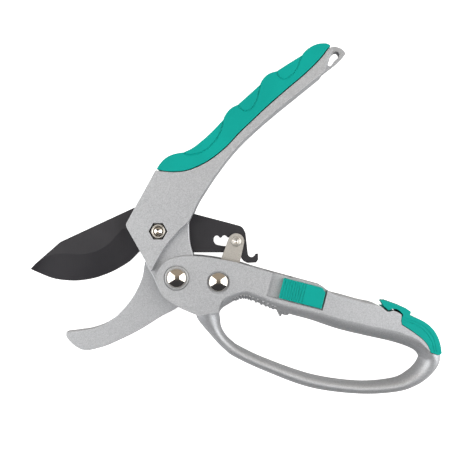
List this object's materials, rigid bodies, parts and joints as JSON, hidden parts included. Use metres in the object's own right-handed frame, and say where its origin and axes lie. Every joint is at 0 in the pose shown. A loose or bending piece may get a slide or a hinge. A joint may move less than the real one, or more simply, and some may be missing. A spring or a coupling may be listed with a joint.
{
  "type": "pruning shears",
  "caption": "Ratchet bypass pruning shears, wide open: hooked casting with moulded grip, dark blade on a hex nut pivot, steel ratchet link, finger-loop handle with thumb lock slider",
  "frame": {"origin": "centre of the bounding box at its base, on the surface the open shears lie on", "axes": "X right along the longest extent, blade to the left and finger loop to the right; Y up towards the gripped handle's end; Z through the thickness, towards the side with the hex nut"},
  "size_m": [0.2102, 0.178, 0.0226],
  "materials": {
    "silver_paint": "silver-grey paint with a fine metallic grain over die-cast aluminium",
    "teal_rubber": "satin teal moulding",
    "dark_blade": "dark non-stick coating on hardened steel",
    "chrome_rivet": "polished",
    "zinc_steel": "zinc plated",
    "spring_steel": "plain spring wire"
  },
  "bodies": {
    "upper_body": {"upper_handle": "silver_paint", "upper_grip": "teal_rubber", "pivot_bolt": "zinc_steel", "pivot_nut": "zinc_steel", "pivot_washer": "zinc_steel", "pivot_bush": "zinc_steel", "handle_spring": "spring_steel"},
    "blade": {"cutting_blade": "dark_blade"},
    "lower_body": {"lower_handle": "silver_paint", "handle_rivet": "chrome_rivet", "rivet_washer": "zinc_steel", "handle_sleeve": "zinc_steel", "link_rivet": "chrome_rivet", "end_bumper": "teal_rubber"},
    "link": {"link_front": "zinc_steel", "link_rear": "zinc_steel", "link_pin": "zinc_steel", "link_washer_front": "zinc_steel", "link_washer_rear": "zinc_steel", "link_spring": "spring_steel"},
    "slider": {"lock_slider": "teal_rubber", "lock_catch": "zinc_steel"}
  },
  "joints": [
    {"name": "handle_squeeze", "type": "hinge", "parent": "upper_body", "child": "lower_body", "pos_m": [-0.02864, -0.02873, 0.0099], "axis": [0, 0, 1], "range_deg": [0, 50]},
    {"name": "blade_swing", "type": "hinge", "parent": "upper_body", "child": "blade", "pos_m": [-0.03794, -0.00533, 0.0099], "axis": [0, 0, 1], "range_deg": [0, 33]},
    {"name": "link_swing", "type": "hinge", "parent": "lower_body", "child": "link", "pos_m": [-0.00774, -0.03073, 0.0099], "axis": [0, 0, 1], "range_deg": [-37, 0]},
    {"name": "lock_slide", "type": "slide", "parent": "lower_body", "child": "slider", "axis": [-0.9681, 0.2504, 0], "range_m": [0, 0.0055]}
  ],
  "couplings": [
    {"joint": "blade_swing", "follows": "handle_squeeze", "ratio": 0.66},
    {"joint": "link_swing", "follows": "handle_squeeze", "ratio": -0.74}
  ]
}
